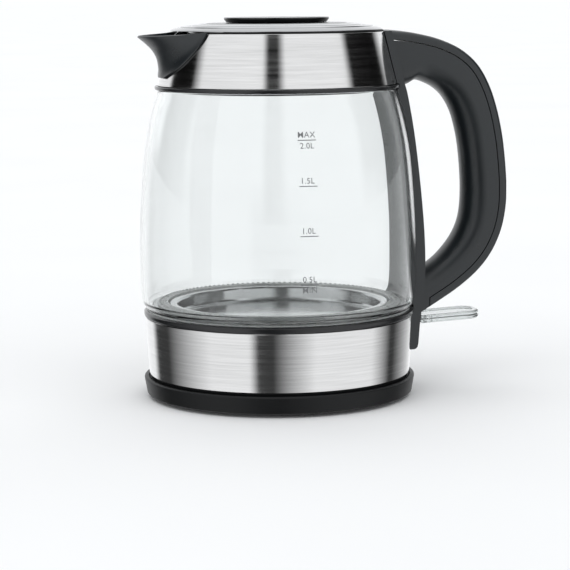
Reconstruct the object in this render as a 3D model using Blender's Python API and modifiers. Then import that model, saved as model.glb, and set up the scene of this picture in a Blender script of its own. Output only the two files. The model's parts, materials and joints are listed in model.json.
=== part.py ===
"""Electric kettle: a clear glass vessel with steel bands, a black handle and spout, a push-in lid,
a clear switch lever, and the round power base that it lifts off.

Sizes are in millimetres and MM turns them into Blender's metres. A profile is a list of
(radius, height) points, and an outline a list of (x, z) points. The kettle's own heights count
from a datum just under its skirt, with the axis of its round body at x = 0. The spout points
along -X and the handle along +X. The origin is under the middle of the whole object, on the
surface that it stands on.
"""

import math

import bmesh
import bpy
from mathutils import Matrix, Vector

MM = 0.001
GAP = 0.3

# Driving dimensions
SPOUT_REACH = 83.5
HANDLE_REACH = 142.0
GLASS_RADIUS = 82.5
GLASS_WALL = 2.9
GLASS_BOTTOM = 42.1
GLASS_TOP = 172.0
BAND_BOTTOM = (77.9, 3.6)
BAND_TOP = (79.9, 37.8)
SKIRT_BOTTOM = 1.4
STEEL_WALL = 0.9
COLLAR_BOTTOM = (70.6, 174.6)
COLLAR_TOP = (62.9, 205.2)
RING_RADIUS = 72.2
LID_HOLE_RADIUS = 51.6
KNOB_TOP = 213.9
BASE_RADIUS = 81.0
BASE_SEAT = 11.6
POST_RADIUS = 17.0
POST_TOP = 23.6
HANDLE_HALF_WIDTH = 13.5
OUTER_EDGE = 3.0
INNER_EDGE = 12.5
COVER_DEPTH = 5.6
SPINE_HALF_WIDTH = 20.8
LEVER_PIVOT = (69.0, 30.4)
LEVER_TILT = math.radians(2.2)
ROCKER_PIVOT = (48.0, 21.0)

AXIS_X = (SPOUT_REACH - HANDLE_REACH) / 2
KETTLE_Z = BASE_SEAT + GAP - SKIRT_BOTTOM
ROUND = 32
SMALL_ROUND = 20
PIN_ROUND = 12


# Modelling tools

def clear_scene():
    for item in list(bpy.data.objects):
        bpy.data.objects.remove(item, do_unlink=True)


def new_collection(name):
    collection = bpy.data.collections.new(name)
    bpy.context.scene.collection.children.link(collection)
    return collection


def material(name, colour, roughness, metallic=0.0, transmission=0.0):
    made = bpy.data.materials.new(name)
    made.use_nodes = True
    shader = made.node_tree.nodes["Principled BSDF"]
    shader.inputs["Base Color"].default_value = (*colour, 1.0)
    shader.inputs["Roughness"].default_value = roughness
    shader.inputs["Metallic"].default_value = metallic
    shader.inputs["Transmission Weight"].default_value = transmission
    made.diffuse_color = (*colour, 1.0)
    return made


BLACK = ((0.02, 0.021, 0.023), 0.4)
SLATE = ((0.045, 0.05, 0.054), 0.45)
STEEL = ((0.62, 0.61, 0.6), 0.3, 1.0)
CHROME = ((0.75, 0.75, 0.75), 0.12, 1.0)
ALUMINIUM = ((0.7, 0.7, 0.71), 0.45, 1.0)
BRASS = ((0.72, 0.53, 0.24), 0.3, 1.0)
CLEAR = ((0.95, 0.97, 0.97), 0.02, 0.0, 1.0)
SILICONE = ((0.8, 0.82, 0.8), 0.5, 0.0, 0.3)
GREY = ((0.2, 0.2, 0.21), 0.5)
RUBBER = ((0.03, 0.03, 0.03), 0.8)


def empty(name, location, parent=None):
    made = bpy.data.objects.new(name, None)
    made.location = Vector(location) * MM
    made.parent = parent
    parts.objects.link(made)
    return made


def place(name, data, parent, look=None):
    """A named piece in the model or, with no look, a cutter that only shapes other pieces."""
    made = bpy.data.objects.new(name, data)
    made.parent = parent
    if look is None:
        made.hide_render = True
        made.display_type = "WIRE"
        cutters.objects.link(made)
    else:
        data.materials.append(material(name, *look))
        parts.objects.link(made)
    return made


def turned(name, profile, parent, look=None, steps=ROUND):
    """A turned piece: an open profile starts and ends on the axis, any other one is closed."""
    points = [(radius * MM, 0.0, height * MM) for radius, height in profile]
    edges = [(i, i + 1) for i in range(len(points) - 1)]
    if profile[0][0] > 0:
        edges.append((len(points) - 1, 0))
    mesh = bpy.data.meshes.new(name)
    mesh.from_pydata(points, edges, [])
    made = place(name, mesh, parent, look)
    screw = made.modifiers.new("turn", "SCREW")
    screw.steps = steps
    screw.render_steps = steps
    screw.use_merge_vertices = True
    screw.merge_threshold = 1e-6
    screw.use_smooth_shade = True
    return made


def rod(name, radius, start, end, parent, look=None, steps=PIN_ROUND):
    """A straight round bar between two points."""
    start = Vector(start) * MM
    end = Vector(end) * MM
    turn = (end - start).to_track_quat("Z", "Y").to_matrix().to_4x4()
    shape = bmesh.new()
    bmesh.ops.create_cone(
        shape, cap_ends=True, segments=steps, radius1=radius * MM, radius2=radius * MM,
        depth=(end - start).length, matrix=Matrix.Translation((start + end) / 2) @ turn,
    )
    mesh = bpy.data.meshes.new(name)
    shape.to_mesh(mesh)
    shape.free()
    return place(name, mesh, parent, look)


def box(name, low, high, parent, look=None):
    low = Vector(low) * MM
    high = Vector(high) * MM
    size = Matrix.Diagonal((*(high - low), 1.0))
    shape = bmesh.new()
    bmesh.ops.create_cube(shape, size=1.0, matrix=Matrix.Translation((low + high) / 2) @ size)
    mesh = bpy.data.meshes.new(name)
    shape.to_mesh(mesh)
    shape.free()
    return place(name, mesh, parent, look)


def curve(name, points, dimensions, closed):
    data = bpy.data.curves.new(name, "CURVE")
    data.dimensions = dimensions
    spline = data.splines.new("POLY")
    spline.points.add(len(points) - 1)
    for target, point in zip(spline.points, points):
        target.co = (*(Vector(point) * MM), 1.0)
    spline.use_cyclic_u = closed
    return data


def slab(name, outline, half_depth, parent, look=None, upright=True):
    """A flat outline thickened both ways: across Y when upright, across Z when it lies flat."""
    data = curve(name, [(x, y, 0.0) for x, y in outline], "2D", True)
    data.fill_mode = "BOTH"
    data.extrude = half_depth * MM
    guide = bpy.data.objects.new(name + "_outline", data)
    bpy.context.scene.collection.objects.link(guide)
    bpy.context.view_layer.update()
    mesh = bpy.data.meshes.new_from_object(guide.evaluated_get(bpy.context.evaluated_depsgraph_get()))
    bpy.data.objects.remove(guide, do_unlink=True)
    shape = bmesh.new()
    shape.from_mesh(mesh)
    bmesh.ops.remove_doubles(shape, verts=shape.verts, dist=1e-7)
    bmesh.ops.recalc_face_normals(shape, faces=shape.faces)
    if upright:
        bmesh.ops.rotate(shape, verts=shape.verts, matrix=Matrix.Rotation(math.pi / 2, 3, "X"))
    shape.to_mesh(mesh)
    shape.free()
    mesh.materials.clear()
    mesh.name = name
    return place(name, mesh, parent, look)


def wire(name, points, radius, parent, look):
    """A round bar bent along a line of points."""
    data = curve(name, points, "3D", False)
    data.bevel_depth = radius * MM
    data.bevel_resolution = 2
    data.use_fill_caps = True
    return place(name, data, parent, look)


def combine(piece, other, operation):
    boolean = piece.modifiers.new(other.name, "BOOLEAN")
    boolean.operation = operation
    boolean.object = other
    return piece


def cut(piece, *tools):
    for tool in tools:
        combine(piece, tool, "DIFFERENCE")


def join(piece, *tools):
    for tool in tools:
        combine(piece, tool, "UNION")


def soften(piece, width, segments=2, angle=40):
    bevel = piece.modifiers.new("edges", "BEVEL")
    bevel.width = width * MM
    bevel.segments = segments
    bevel.limit_method = "ANGLE"
    bevel.angle_limit = math.radians(angle)


def smooth_line(points, per_span=3):
    """A Catmull-Rom curve through the points."""
    path = [Vector(point) for point in points]
    ends = [2 * path[0] - path[1]] + path + [2 * path[-1] - path[-2]]
    line = []
    for i in range(1, len(ends) - 2):
        before, start, end, after = ends[i - 1 : i + 3]
        for step in range(per_span):
            t = step / per_span
            line.append(0.5 * (
                2 * start + (end - before) * t
                + (2 * before - 5 * start + 4 * end - after) * t**2
                + (3 * start - before - 3 * end + after) * t**3
            ))
    return [tuple(point) for point in line] + [tuple(path[-1])]


def offset_line(points, distance):
    """The line moved sideways, to the right of its direction of travel."""
    path = [Vector(point) for point in points]
    moved = []
    for i, point in enumerate(path):
        into = (point - path[i - 1]).normalized() if i else None
        out = (path[i + 1] - point).normalized() if i + 1 < len(path) else None
        into = into or out
        out = out or into
        along = (into + out).normalized()
        side = Vector((along.y, -along.x))
        moved.append(tuple(point + side * distance / max(along.dot(into), 0.5)))
    return moved


def height_at(points, x):
    """Where a line, whose x only falls or only rises, has the given x."""
    for (x0, z0), (x1, z1) in zip(points, points[1:]):
        if min(x0, x1) <= x <= max(x0, x1):
            return z0 + (z1 - z0) * (x - x0) / (x1 - x0)
    raise ValueError(f"the line doesn't reach {x}")


# Outlines that several pieces share

def collar_radius(height):
    slope = (COLLAR_TOP[0] - COLLAR_BOTTOM[0]) / (COLLAR_TOP[1] - COLLAR_BOTTOM[1])
    return COLLAR_BOTTOM[0] + slope * (height - COLLAR_BOTTOM[1])


GLASS_SIDE = [
    (70.2, GLASS_TOP), (71.3, 168.5), (73.2, 162.5), (76.0, 151.0), (78.6, 136.5), (80.5, 118.0),
    (82.0, 95.0), (GLASS_RADIUS, 76.0), (82.4, 62.0), (81.9, 51.5), (80.9, 46.0), (79.3, 43.2),
    (77.2, GLASS_BOTTOM),
]

# Matching points of the handle's outer and inner sides, from the collar round to the lower joint
HANDLE_SIDES = [
    ((60.0, 206.1), (60.0, 172.0)), ((72.0, 205.4), (72.0, 172.0)), ((84.0, 203.7), (79.5, 173.0)),
    ((98.1, 200.2), (85.0, 175.6)), ((111.7, 194.1), (92.0, 173.8)), ((122.4, 185.1), (99.0, 170.0)),
    ((129.9, 173.0), (104.8, 164.2)), ((135.2, 158.5), (109.6, 155.6)), ((138.9, 142.0), (113.0, 144.1)),
    ((141.1, 124.0), (115.2, 130.9)), ((HANDLE_REACH, 106.0), (116.5, 113.4)),
    ((140.4, 91.0), (116.2, 99.0)), ((136.6, 78.7), (114.1, 88.6)), ((130.3, 67.5), (109.3, 79.2)),
    ((121.4, 57.7), (101.5, 70.1)), ((109.5, 48.6), (93.7, 64.0)), ((97.4, 41.3), (86.2, 59.6)),
    ((85.5, 34.5), (78.0, 57.0)), ((72.0, 27.5), (70.0, 57.0)),
]
HANDLE_OUTER = smooth_line([outer for outer, inner in HANDLE_SIDES], 2)
HANDLE_INNER = smooth_line([inner for outer, inner in HANDLE_SIDES], 2)

SPINE_OUTER = [
    (67.6, 205.4), (75.4, 175.0), (77.4, 167.5), (81.2, 146.3), (84.4, 121.0), (87.0, 94.0),
    (88.1, 74.0), (88.0, 58.0), (87.0, 45.0), (85.6, 36.0), (84.6, 27.0), (83.6, 14.6),
]

COVER_START = 67.5
COVER_END = 91.5


def along_cover(depth, start=COVER_START, end=COVER_END):
    """The handle's outer line at a depth under its surface, from the collar to the lower joint."""
    line = offset_line(HANDLE_OUTER, depth)
    top = [p for p in line if p[1] > 100.0]
    low = [p for p in line if p[1] <= 100.0]
    inside = [p for p in top if p[0] > start] + [p for p in low if p[0] > end]
    return [(start, height_at(top, start))] + inside + [(end, height_at(low, end))]


# The power base

def power_base():
    top = turned("base_top_plate", [
        (POST_RADIUS + GAP, BASE_SEAT), (77.6, BASE_SEAT), (78.4, 12.5), (80.2, 12.5), (BASE_RADIUS, 11.7),
        (79.4, 2.4), (77.2, 2.4), (78.2, 9.2), (POST_RADIUS + GAP, 9.2),
    ], base, BLACK)
    cover = turned("base_bottom_cover", [(0, 3.4), (76.7, 3.4), (76.7, 1.6), (0, 1.6)], base, BLACK)
    for i in range(3):
        angle = math.radians(90 + 120 * i)
        x, y = 45 * math.cos(angle), 45 * math.sin(angle)
        join(top, rod(f"base_boss_{i}", 3.4, (x, y, 3.8), (x, y, 9.8), base))
        cut(top, rod(f"base_boss_hole_{i}", 1.7, (x, y, 3.0), (x, y, 8.6), base))
        cut(cover, rod(f"base_cover_hole_{i}", 1.8, (x, y, 0.0), (x, y, 5.0), base))
        screw(f"base_screw_{i + 1}", (x, y, 0.5), (x, y, 8.2), 3.0, 0.8, base)
        x, y = 66 * math.cos(angle + math.pi / 3), 66 * math.sin(angle + math.pi / 3)
        rod(f"base_foot_{i + 1}", 6.0, (x, y, 0.0), (x, y, 1.3), base, RUBBER, SMALL_ROUND)
    cut(top, rod("bush_hole", 3.3, (0, 71, 6.7), (0, 84, 6.7), base, steps=16))
    bush = rod("cord_outlet_bush", 2.9, (0, 71.5, 6.7), (0, 81.6, 6.7), base, RUBBER, 16)
    cut(bush, rod("cord_way", 2.0, (0, 70, 6.7), (0, 84, 6.7), base))
    connector_post()


def connector_post():
    groove = 14.0
    lip = 1.1
    turned("base_connector_post", [
        (0, 13.0), (2.3, 13.0), (2.3, POST_TOP), (4.4, POST_TOP), (4.4, groove), (6.6, groove),
        (6.6, POST_TOP), (10.4, POST_TOP), (10.4, groove), (12.6, groove), (12.6, POST_TOP),
        (POST_RADIUS - lip, POST_TOP), (POST_RADIUS, POST_TOP - lip), (POST_RADIUS, 8.9), (21.0, 8.9),
        (21.0, 6.6), (POST_RADIUS, 6.6), (POST_RADIUS, 3.8), (0, 3.8),
    ], base, BLACK, SMALL_ROUND)
    rod("base_contact_live", 1.9, (0, 0, 13.4), (0, 0, 14.6), base, BRASS)
    for name, middle in (("base_contact_neutral", 5.5), ("base_contact_earth", 11.5)):
        ring(name, middle - 0.7, middle + 0.7, 14.4, 15.6, base, BRASS, SMALL_ROUND)
    turned("base_centring_ring", [
        (17.5, 14.7), (18.7, 14.7), (19.5, 13.9), (19.5, BASE_SEAT + GAP), (17.5, BASE_SEAT + GAP),
    ], swivel, GREY, SMALL_ROUND)


def ring(name, inner, outer, low, high, parent, look, steps=ROUND):
    return turned(name, [(inner, high), (outer, high), (outer, low), (inner, low)], parent, look, steps)


def screw(name, head, tip, head_radius, head_height, parent, shank=1.35):
    """A screw with a flat head whose outer face is at head, and its point at tip."""
    head = Vector(head)
    tip = Vector(tip)
    holder = empty(name + "_seat", head, parent)
    holder.rotation_euler = (tip - head).to_track_quat("Z", "Y").to_euler()
    length = (tip - head).length
    return turned(name, [
        (0, length), (shank, length), (shank, head_height), (head_radius, head_height),
        (head_radius, 0), (0, 0),
    ], holder, ALUMINIUM, PIN_ROUND)


# The bottom of the kettle

def skirt_and_band():
    skirt = turned("bottom_skirt", [
        (74.2, 9.0), (76.3, 9.0), (76.3, 3.3), (77.2, 3.3), (76.8, SKIRT_BOTTOM), (71.0, SKIRT_BOTTOM),
        (69.6, 2.9), (24.6, 2.9), (24.6, 4.9), (72.6, 4.9),
    ], kettle, BLACK)
    band = turned("steel_band", [
        (BAND_TOP[0] - STEEL_WALL, BAND_TOP[1]), BAND_TOP, BAND_BOTTOM,
        (BAND_BOTTOM[0] - STEEL_WALL, BAND_BOTTOM[1]),
    ], kettle, STEEL)
    cut(band, box("band_slot", (74, -7.8, 25.6), (86, 7.8, 34.6), kettle))
    cut(band, rod("band_screw_hole", 1.9, (74, 0, 19), (86, 0, 19), kettle))
    lower = turned("lower_glass_ring", [
        (66.8, 41.8), (79.9, 41.8), (80.6, 41.1), (80.5, 38.5), (80.1, 38.1), (78.7, 38.1),
        (78.7, 36.9), (66.8, 36.9),
    ], kettle, BLACK)
    for i in range(3):
        angle = math.radians(60 + 120 * i)
        x, y = 70 * math.cos(angle), 70 * math.sin(angle)
        join(lower, rod(f"skirt_boss_{i}", 3.2, (x, y, 8.5), (x, y, 38.5), kettle))
        cut(lower, rod(f"skirt_boss_hole_{i}", 1.7, (x, y, 5.0), (x, y, 18.0), kettle))
        cut(skirt, rod(f"skirt_hole_{i}", 1.8, (x, y, 0.0), (x, y, 7.0), kettle))
        cut(skirt, rod(f"skirt_head_pocket_{i}", 3.4, (x, y, 0.0), (x, y, 3.0), kettle))
        screw(f"skirt_screw_{i + 1}", (x, y, 1.8), (x, y, 17.0), 3.0, 0.9, kettle)


def heater():
    top_face = [
        (0, 37.0), (54.6, 37.0), (57.0, 38.6), (57.8, 44.2), (58.8, 45.6), (64.8, 45.6), (65.8, 44.6),
        (65.8, 40.4),
    ]
    under_face = offset_line(top_face, 0.8)
    under_face[0] = (0, 36.2)
    turned("heating_plate", top_face + under_face[::-1], kettle, STEEL)
    turned("diffuser_plate", [(0, 35.8), (52.0, 35.8), (52.0, 33.4), (0, 33.4)], kettle, ALUMINIUM)
    turned("plate_gasket", [
        (66.2, 46.4), (72.8, 46.4), (73.2, 45.3), (69.7, 45.3), (69.7, 42.2), (66.2, 42.2),
    ], kettle, SILICONE)
    bend, tube, height = 41.0, 3.2, 29.7
    arc = [math.radians(30 + 300 * i / 24) for i in range(25)]
    path = [(bend * math.cos(a), bend * math.sin(a), height) for a in arc]
    wire("heating_element", path, tube, kettle, STEEL)
    for i, side in enumerate((1, -1)):
        x, y = bend * math.cos(math.radians(30)), side * bend * math.sin(math.radians(30))
        box(f"element_terminal_{i + 1}", (x - 3, y - 0.4, 14.0), (x + 3, y + 0.4, 26.2), kettle, BRASS)


def control():
    unit = box("control_unit", (-23, -19, 17.0), (23, 19, 25.2), kettle, BLACK)
    for side in (1, -1):
        y = 8.0 * side
        join(unit, box(f"rocker_cheek_{side}", (20, y - 1.6, 17.4), (52, y + 1.6, 24.6), kettle))
    pivot_x, pivot_z = ROCKER_PIVOT
    cut(unit, rod("rocker_pin_hole", 1.5, (pivot_x, -12, pivot_z), (pivot_x, 12, pivot_z), kettle))
    for i, side in enumerate((1, -1)):
        y = 15.0 * side
        cut(unit, rod(f"control_hole_{i}", 1.7, (-12, y, 10), (-12, y, 30), kettle))
        screw(f"control_screw_{i + 1}", (-12, y, 16.3), (-12, y, 33.0), 2.0, 0.5, kettle)
    dome = [(0, 27.0), (6.0, 26.8), (11.0, 26.1), (11.0, 25.6), (0, 26.3)]
    turned("bimetal_disc", dome, kettle, BRASS, 16)
    turned("connector_housing", [
        (2.4, 16.0), (24.0, 16.0), (24.0, 7.2), (27.0, 7.2), (27.0, 5.2), (24.2, 5.2), (24.2, 2.4),
        (20.8, 2.4), (20.8, 14.3), (2.4, 14.3),
    ], kettle, BLACK, SMALL_ROUND)
    rod("kettle_pin", 1.5, (0, 0, 4.8), (0, 0, 16.7), kettle, BRASS)
    ring("kettle_inner_sleeve", 5.0, 6.0, 5.5, 14.0, kettle, BRASS, SMALL_ROUND)
    ring("kettle_outer_sleeve", 11.0, 12.0, 5.5, 14.0, kettle, BRASS, SMALL_ROUND)


def switch():
    """The clear lever tips on a pin inside the band, and its inner end lifts the control's rocker."""
    bracket = box("lever_bracket", (62, -9.6, 35.2), (76, 9.6, 36.5), kettle, BLACK)
    x, z = LEVER_PIVOT
    for side in (1, -1):
        y = 8.4 * side
        join(bracket, box(f"lever_cheek_{side}", (64, y - 1.1, 26.6), (74, y + 1.1, 35.8), kettle))
    cut(bracket, rod("lever_pin_hole", 1.5, (x, -12, z), (x, 12, z), kettle))
    rod("lever_pin", 1.2, (x, -9.6, z), (x, 9.6, z), kettle, ALUMINIUM)
    half_neck, half_paddle, corner, tip = 7.0, 12.0, 9.0, 126.0
    turn = [math.radians(90 - 90 * i / 5) for i in range(6)]
    end = [(corner * math.cos(a) + tip - corner, corner * math.sin(a) + half_paddle - corner) for a in turn]
    half = [(60.0, half_neck), (86.4, half_neck), (86.4, half_paddle)] + end
    outline = [(px - x, py) for px, py in half] + [(px - x, -py) for px, py in half[::-1]]
    lever = slab("switch_lever", outline, 2.5, lever_axis, CLEAR, upright=False)
    soften(lever, 0.8)
    cut(lever, rod("lever_bore", 1.5, (0, -9, 0), (0, 9, 0), lever_axis))
    x, z = ROCKER_PIVOT
    rod("rocker_pin", 1.2, (x, -9.6, z), (x, 9.6, z), kettle, ALUMINIUM)
    rocker = slab("trip_rocker", [
        (-15.0, -2.0), (14.5, -2.0), (14.5, 5.9), (11.0, 5.9), (11.0, 2.0), (-15.0, 2.0),
    ], 5.0, rocker_axis, GREY)
    cut(rocker, rod("rocker_bore", 1.5, (0, -9, 0), (0, 9, 0), rocker_axis))


# The glass, the neck and the spout

def glass():
    inner = offset_line(GLASS_SIDE, GLASS_WALL)
    inside = [(inner[0][0], GLASS_TOP)] + [p for p in inner[1:] if p[1] > 47.0]
    floor = GLASS_BOTTOM + GLASS_WALL
    turned("glass_body", [inside[0]] + GLASS_SIDE + [(70.0, GLASS_BOTTOM), (70.0, floor), (76.4, floor)]
           + inside[:0:-1], kettle, CLEAR)
    turned("upper_glass_ring", [
        (64.6, 174.3), (71.9, 174.3), (RING_RADIUS, 173.9), (RING_RADIUS, 172.6), (71.9, 172.3),
        (66.3, 172.3), (66.3, 168.5), (64.6, 168.5),
    ], kettle, BLACK)


def spout_notch():
    """The V that the spout leaves in the collar and the liner, seen along X."""
    half = [(2.0, 181.0), (13.0, 184.0), (21.5, 189.5), (28.5, 195.4), (34.0, 205.0), (34.5, 214.0)]
    outline = half + [(-y, z) for y, z in half[::-1]]
    notch = slab("spout_notch", outline, 20.0, kettle)
    notch.rotation_euler = (0, 0, math.pi / 2)
    notch.location = (-68 * MM, 0, 0)
    return notch


def neck():
    notch = spout_notch()
    top, low = COLLAR_TOP, COLLAR_BOTTOM
    collar = turned("steel_collar", [
        (top[0] - STEEL_WALL, top[1]), top, low, (low[0] - STEEL_WALL, low[1]),
    ], kettle, STEEL)
    liner = turned("neck_liner", [
        (59.8, 206.1), (62.8, 206.1), (62.8, 205.5), (61.5, 205.5), (69.2, 174.7), (67.4, 174.7),
        (59.8, 205.0),
    ], kettle, BLACK)
    for piece in (collar, liner):
        cut(piece, notch)
        cut(piece, rod(piece.name + "_steam_hole", 2.7, (50, -2.9, 193.0), (80, -2.9, 193.0), kettle))
    cut(collar, rod("collar_screw_hole", 1.8, (50, 3.2, 194.0), (80, 3.2, 194.0), kettle))
    hole = LID_HOLE_RADIUS
    turned("shoulder_ring", [
        (hole, 209.2), (55.0, 209.1), (58.6, 208.6), (61.3, 207.7), (62.5, 206.6), (62.5, 206.4),
        (58.0, 206.4), (54.2, 207.4), (53.0, 206.8), (53.0, 199.0), (hole, 199.0),
    ], kettle, CHROME)


SPOUT_RIDGE = [
    (70.8, 179.6), (70.7, 183.0), (71.1, 186.6), (72.2, 191.0), (74.8, 195.4), (78.5, 199.1), (81.7, 201.7),
    (SPOUT_REACH, 203.2),
]
SPOUT_ANGLES = [5.5, 13.5, 20.0, 25.3, 29.7, 33.0, 35.0, 36.0]
SPOUT_WALL = 1.1


def spout_point(row, across):
    """A point of the spout's outer face: row runs up its ridge, across goes from -1 to 1."""
    ridge, height = SPOUT_RIDGE[row]
    climb = (row / (len(SPOUT_RIDGE) - 1)) ** 3
    height += 3.0 * climb * abs(across) ** 1.6
    edge = collar_radius(height) + GAP + SPOUT_WALL
    swell = (1 - abs(across) ** 1.8) ** 2.4
    radius = edge + max(ridge - edge, 0.0) * swell
    angle = math.pi + across * math.radians(SPOUT_ANGLES[row])
    return (radius * math.cos(angle) * MM, radius * math.sin(angle) * MM, height * MM)


def spout():
    """A sheet lofted over the V notch, from the collar's face out to the beak."""
    columns = 14
    rows = len(SPOUT_RIDGE)
    points = [spout_point(row, 2 * i / columns - 1) for row in range(rows) for i in range(columns + 1)]
    wide = columns + 1
    faces = []
    for row in range(rows - 1):
        for i in range(columns):
            first = row * wide + i
            faces.append((first, first + 1, first + wide + 1, first + wide))
    mesh = bpy.data.meshes.new("spout")
    mesh.from_pydata(points, [], faces)
    mesh.shade_smooth()
    made = place("spout", mesh, kettle, BLACK)
    shell = made.modifiers.new("wall", "SOLIDIFY")
    shell.thickness = SPOUT_WALL * MM
    shell.offset = -1.0
    shell.use_even_offset = True


def spout_filter():
    half = [(5.0, 181.0), (22.0, 196.0), (22.0, 203.5)]
    outline = half + [(-y, z) for y, z in half[::-1]]
    opening = [(y * 0.84, 192.5 + (z - 192.5) * 0.8) for y, z in outline]
    panel = [(y * 0.81, 192.5 + (z - 192.5) * 0.75) for y, z in outline]
    frame = slab("filter_frame", outline, 1.0, filter_seat, BLACK)
    cut(frame, slab("filter_window", opening, 3.0, filter_seat))
    mesh = slab("filter_mesh", panel, 0.35, filter_seat, STEEL)
    for i in range(-3, 4):
        low = 188.5 + 3.0 * max(abs(i) - 1, 0)
        cut(mesh, box(f"mesh_slot_{i}", (4.2 * i - 1.2, -2, low), (4.2 * i + 1.2, 2, 199.5), filter_seat))


# The handle

def handle_section(outer, inner):
    """One cross-section: nearly square outer edges, and a well rounded side for the fingers."""
    outer = Vector(outer)
    inner = Vector(inner)
    along = (outer - inner).normalized()
    depth = (outer - inner).length
    corners = [(depth - OUTER_EDGE, OUTER_EDGE, 0), (depth - OUTER_EDGE, OUTER_EDGE, 45),
               (depth - OUTER_EDGE, OUTER_EDGE, 90), (INNER_EDGE, INNER_EDGE, 90),
               (INNER_EDGE, INNER_EDGE, 120), (INNER_EDGE, INNER_EDGE, 150), (INNER_EDGE, INNER_EDGE, 180)]
    half = []
    for centre, radius, degrees in corners:
        angle = math.radians(degrees)
        reach = inner + along * (centre + radius * math.cos(angle))
        side = HANDLE_HALF_WIDTH - radius + radius * math.sin(angle)
        half.append((reach.x, side, reach.y))
    return half + [(x, -y, z) for x, y, z in half[::-1]]


def handle_blank(name, look=None):
    """The whole handle, lofted through its cross-sections, with both ends inside the body."""
    shape = bmesh.new()
    loops = []
    for outer, inner in zip(HANDLE_OUTER, HANDLE_INNER):
        loops.append([shape.verts.new(Vector(point) * MM) for point in handle_section(outer, inner)])
    count = len(loops[0])
    for here, there in zip(loops, loops[1:]):
        for i in range(count):
            after = (i + 1) % count
            shape.faces.new((here[i], here[after], there[after], there[i]))
    shape.faces.new(loops[0])
    shape.faces.new(loops[-1])
    bmesh.ops.recalc_face_normals(shape, faces=shape.faces)
    mesh = bpy.data.meshes.new(name)
    shape.to_mesh(mesh)
    shape.free()
    return place(name, mesh, kettle, look)


def body_clearance():
    """Everything inside the kettle's round outside, with the gap that its neighbours keep."""
    side = [(63.4, 205.4), (COLLAR_BOTTOM[0] + 0.4, COLLAR_BOTTOM[1]), (RING_RADIUS + GAP, 174.3),
            (RING_RADIUS + GAP, 172.4)]
    side += [(r + GAP, z) for r, z in GLASS_SIDE[1:-1]]
    side += [(80.9, 42.0), (80.9, 38.1), (BAND_TOP[0] + GAP, 37.9), (BAND_BOTTOM[0] + GAP, BAND_BOTTOM[1])]
    return turned("body_clearance", [(0, 212.0), (63.4, 212.0)] + side + [(0, BAND_BOTTOM[1])], kettle)


def spine_blank():
    """The upright strip behind the glass, with the tail that runs down the band."""
    made = turned("spine_blank", [(61.0, 205.4)] + SPINE_OUTER + [(61.0, 14.6)], kettle)
    side = SPINE_HALF_WIDTH
    combine(made, box("spine_width", (40, -side, 0), (110, side, 220), kettle), "INTERSECT")
    soften(made, 1.2, 2, 55)
    return made


def handle():
    shell = handle_blank("handle_shell", SLATE)
    join(shell, spine_blank())
    recess = [(COVER_START - GAP, 215.0)]
    recess += along_cover(COVER_DEPTH + GAP, COVER_START - GAP, COVER_END - GAP)
    recess += [(COVER_END - GAP, 20.0), (160.0, 20.0), (160.0, 215.0)]
    cut(shell, body_clearance())
    groove_top = along_cover(COVER_DEPTH - 1, 74.0, 97.0)
    groove_floor = along_cover(COVER_DEPTH + 9, 74.0, 97.0)
    cut(shell, rod("steam_inlet", 2.7, (58, -2.9, 193.0), (76, -2.9, 193.0), kettle))
    cut(shell, rod("steam_outlet", 2.6, (99, -2.9, 51.7), (80, -2.9, 33.5), kettle))
    cut(shell, rod("top_screw_hole", 1.8, (58, 3.2, 194.0), (76, 3.2, 194.0), kettle))
    cut(shell, rod("tail_screw_hole", 1.7, (74, 0, 19), (82.6, 0, 19), kettle))
    cut(shell, box("tail_slot", (74, -7.8, 24.6), (92, 7.8, 35.2), kettle))
    cut(shell, slab("steam_groove", groove_top + groove_floor[::-1], 6.4, kettle))
    cut(shell, slab("cover_recess", recess, 30.0, kettle))
    cover = handle_blank("handle_cover", SLATE)
    region = [(COVER_START, 215.0)] + along_cover(COVER_DEPTH)
    region += [(COVER_END, 20.0), (160.0, 20.0), (160.0, 215.0)]
    combine(cover, slab("cover_region", region, 30.0, kettle), "INTERSECT")
    screw("handle_screw_top", (77.0, 3.2, 194.0), (64.6, 3.2, 194.0), 2.8, 1.8, kettle)
    screw("handle_screw_tail", (75.7, 0, 19), (82.2, 0, 19), 3.0, 1.4, kettle)
    middle = along_cover(COVER_DEPTH + 4, 84.0, 99.0)
    tube = [(61.0, 193.0), (72.0, 193.0), (78.0, 193.4)] + middle[1:]
    wire("steam_tube", [(px, -2.9, pz) for px, pz in tube], 2.2, kettle, SILICONE)


# The lid

def lid_pieces():
    hole = 1.8
    cap = [(hole, 211.0), (41.0, 211.0), (41.7, 210.4), (41.7, 208.9), (hole, 208.9)]
    turned("lid_top_cap", cap, lid, BLACK)
    turned("lid_trim_ring", [
        (42.0, 210.5), (50.2, 209.8), (51.2, 208.9), (51.2, 206.8), (50.1, 206.8), (50.1, 208.7),
        (42.0, 209.3),
    ], lid, CHROME)
    turned("lid_plug", [
        (hole, 208.3), (49.7, 208.3), (49.7, 203.6), (46.8, 203.6), (46.8, 200.8), (48.8, 200.8),
        (48.8, 196.0), (46.4, 196.0), (46.4, 200.0), (44.8, 200.8), (44.8, 206.1), (hole, 206.1),
    ], lid, BLACK)
    turned("lid_gasket", [
        (47.1, 203.3), (50.4, 203.3), (51.2, 202.6), (51.2, 201.8), (50.4, 201.1), (47.1, 201.1),
    ], lid, SILICONE)
    turned("lid_bottom_plate", [(0, 197.2), (46.0, 197.2), (46.0, 196.3), (0, 196.3)], lid, STEEL)
    turned("lid_knob", [
        (0, KNOB_TOP), (29.8, KNOB_TOP), (30.9, 213.4), (31.1, 212.8), (29.2, 211.3), (1.7, 211.3),
        (1.7, 212.9), (0, 212.9),
    ], lid, BLACK)
    screw("knob_screw", (0, 0, 203.9), (0, 0, 212.5), 3.2, 1.9, lid)


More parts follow.
